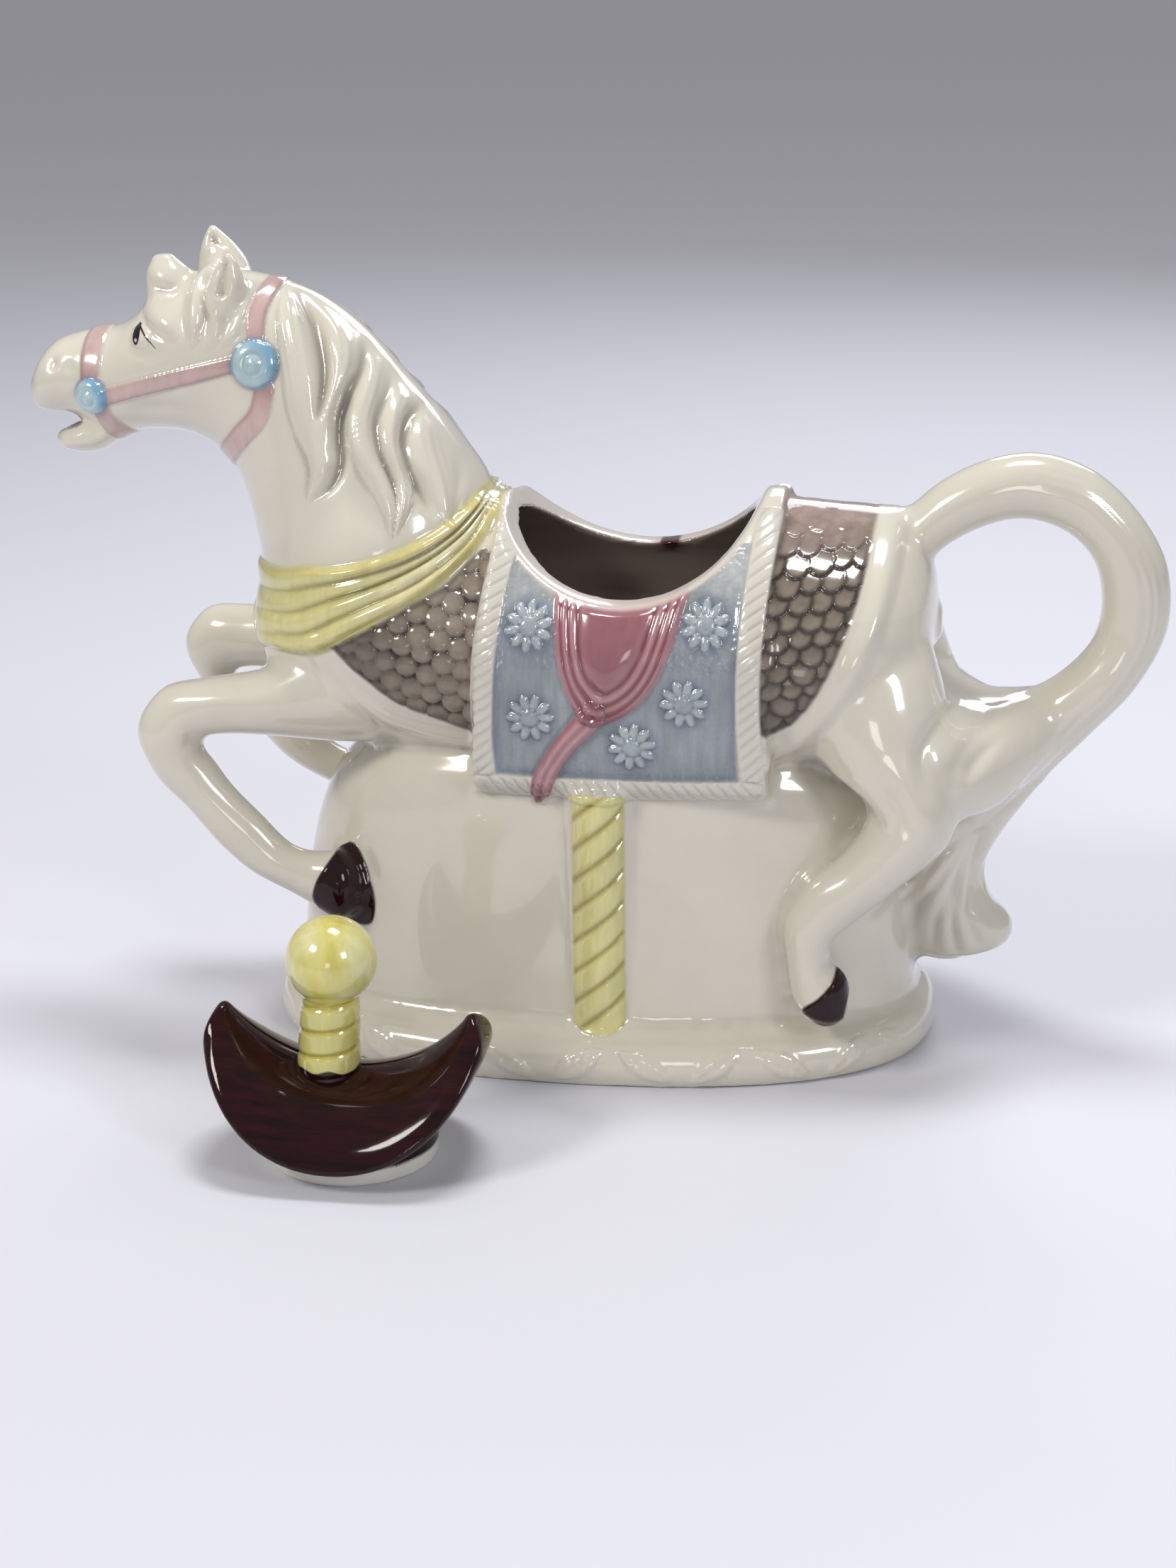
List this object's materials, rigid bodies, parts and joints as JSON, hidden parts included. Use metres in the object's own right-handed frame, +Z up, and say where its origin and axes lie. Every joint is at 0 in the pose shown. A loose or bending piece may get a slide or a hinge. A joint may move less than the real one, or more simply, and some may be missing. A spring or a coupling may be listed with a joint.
{
  "type": "carousel horse teapot",
  "caption": "Ceramic teapot shaped as a rearing carousel horse on a mound: neck spout, tail-loop handle and a saddle lid with a twisted post knob that lifts off.",
  "frame": {"origin": "centre of the flat foot of the mound, on the surface that the pot and its lid stand on", "axes": "+Z up, the horse faces -X, the lid stands on the -Y side"},
  "size_m": [0.3038, 0.1762, 0.2165],
  "materials": {
    "ivory_glaze": "gloss",
    "maroon_glaze": "gloss",
    "yellow_glaze": "gloss"
  },
  "bodies": {
    "pot": {"pot_body": "ivory_glaze", "neck_head": "ivory_glaze", "foreleg_near": "ivory_glaze", "foreleg_off": "ivory_glaze", "tail_handle": "ivory_glaze"},
    "lid": {"lid_saddle": "maroon_glaze", "lid_knob": "yellow_glaze"}
  },
  "joints": [
    {"name": "lid_lift", "type": "slide", "parent": "pot", "child": "lid", "axis": [0, 0, 1], "range_m": [0, 0.24]}
  ]
}
